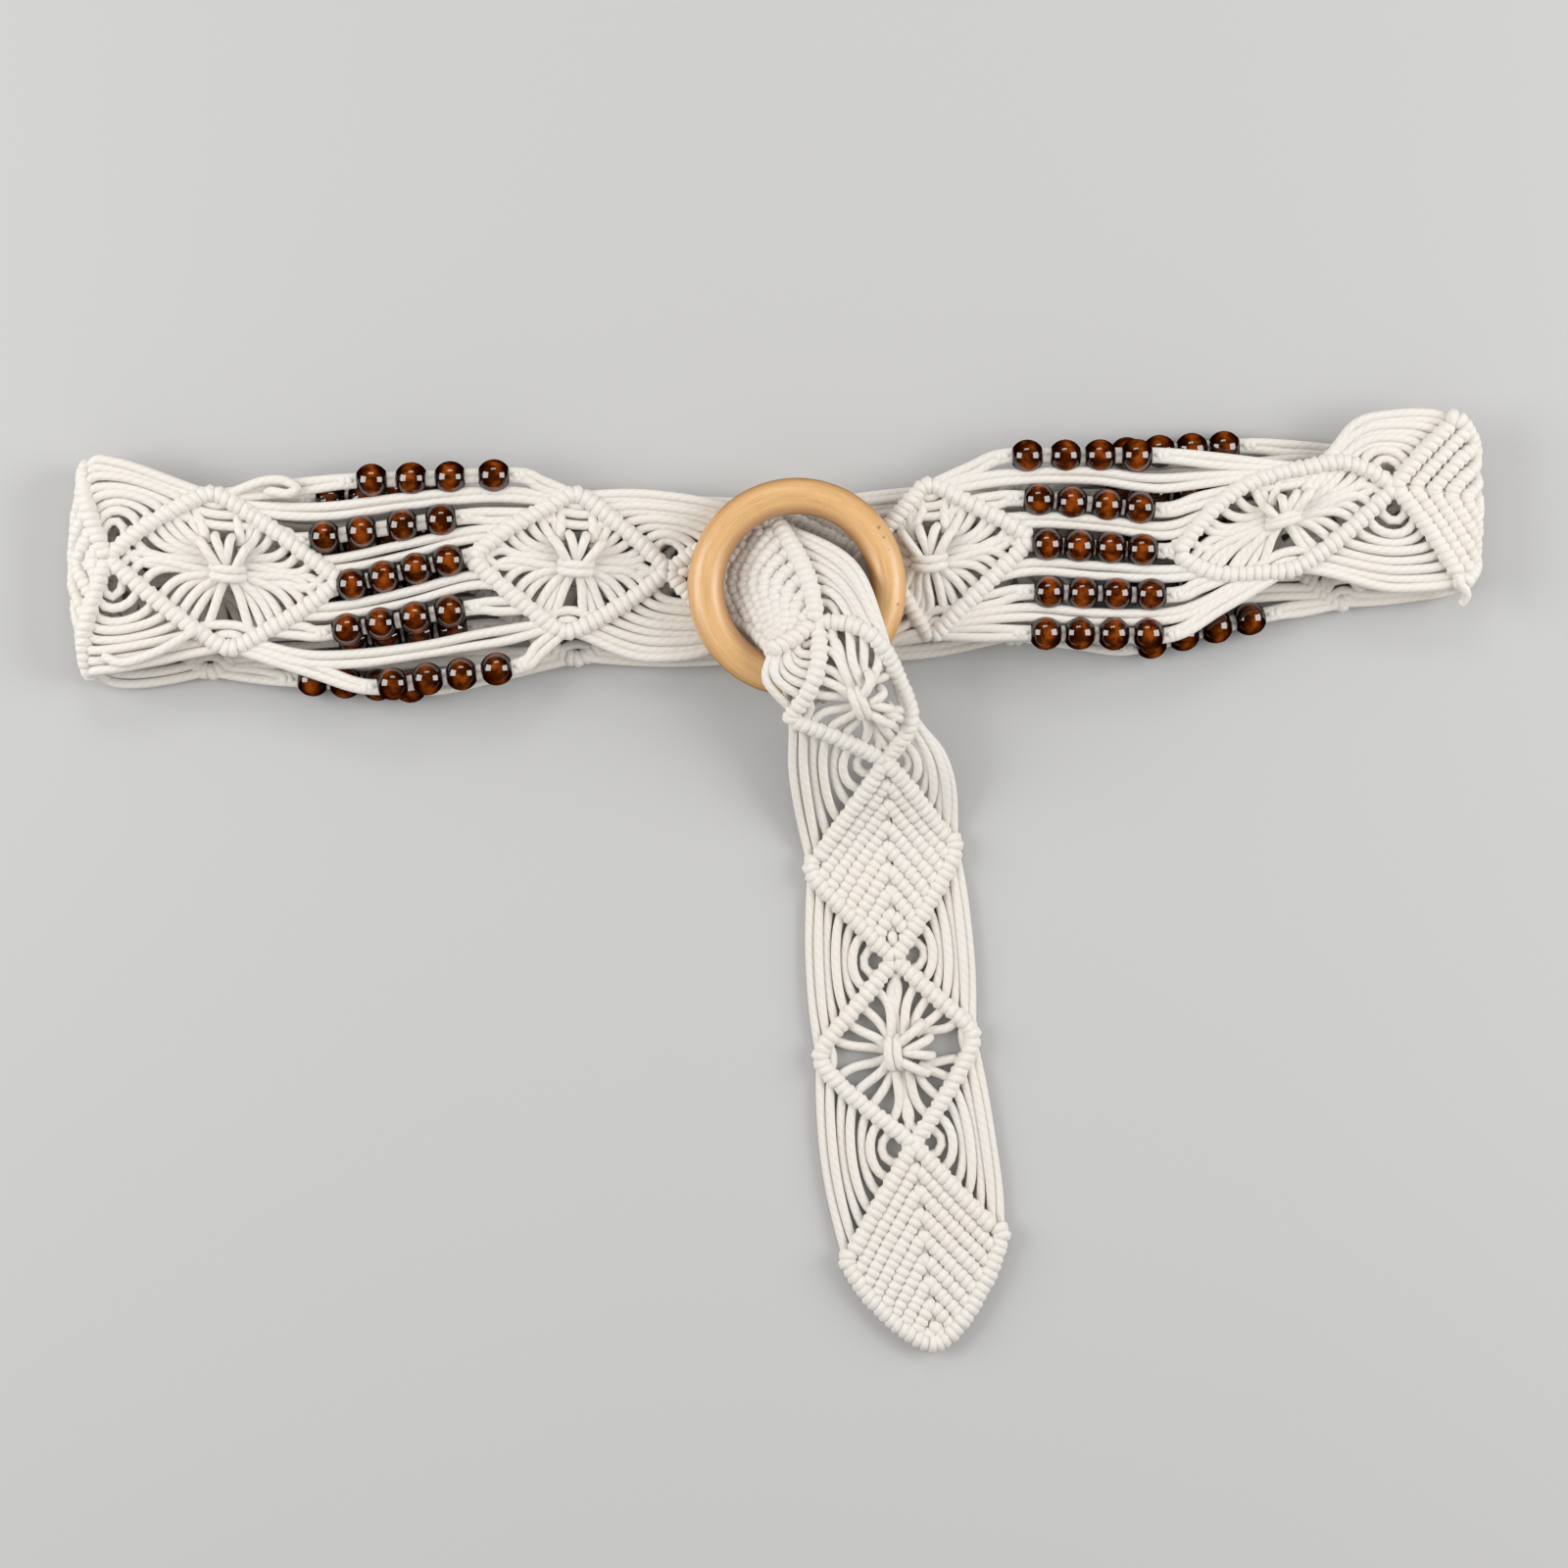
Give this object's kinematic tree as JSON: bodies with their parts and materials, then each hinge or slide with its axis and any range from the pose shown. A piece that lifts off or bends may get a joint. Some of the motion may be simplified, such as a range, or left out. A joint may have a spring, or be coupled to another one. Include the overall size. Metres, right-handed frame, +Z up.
{
  "type": "macrame belt with wooden ring",
  "caption": "Knotted cotton belt with strings of wooden beads, fastened as a flattened loop with its tail through a wooden ring buckle.",
  "frame": {"origin": "on the surface that the belt lies on, under the middle of the whole belt", "axes": "+X along the flattened loop, to the right in the picture; +Y away from the hanging tail, up in the picture; +Z up from the surface"},
  "size_m": [0.4274, 0.2842, 0.0333],
  "materials": {
    "cotton": "twisted cream cotton cord",
    "ring_wood": "satin honey-tan wood",
    "bead_wood": "glossy dark lacquer"
  },
  "bodies": {
    "root": {"ring": "ring_wood", "ring_mount": "cotton", "open_right_front": "cotton", "fold_right": "cotton", "open_right_back": "cotton", "mid_back": "cotton", "open_left_back": "cotton", "fold_left": "cotton", "open_left_front": "cotton", "filled_buckle": "cotton", "tail_open_upper": "cotton", "tail_filled_upper": "cotton", "tail_open_lower": "cotton", "tail_tip": "cotton", "beads_right_front_1": "bead_wood", "beads_right_front_2": "bead_wood", "beads_right_front_3": "bead_wood", "beads_right_front_4": "bead_wood", "beads_right_front_5": "bead_wood", "beads_right_back_1": "bead_wood", "beads_right_back_2": "bead_wood", "beads_right_back_3": "bead_wood", "beads_right_back_4": "bead_wood", "beads_right_back_5": "bead_wood", "beads_left_back_1": "bead_wood", "beads_left_back_2": "bead_wood", "beads_left_back_3": "bead_wood", "beads_left_back_4": "bead_wood", "beads_left_back_5": "bead_wood", "beads_left_front_1": "bead_wood", "beads_left_front_2": "bead_wood", "beads_left_front_3": "bead_wood", "beads_left_front_4": "bead_wood", "beads_left_front_5": "bead_wood"}
  },
  "joints": []
}
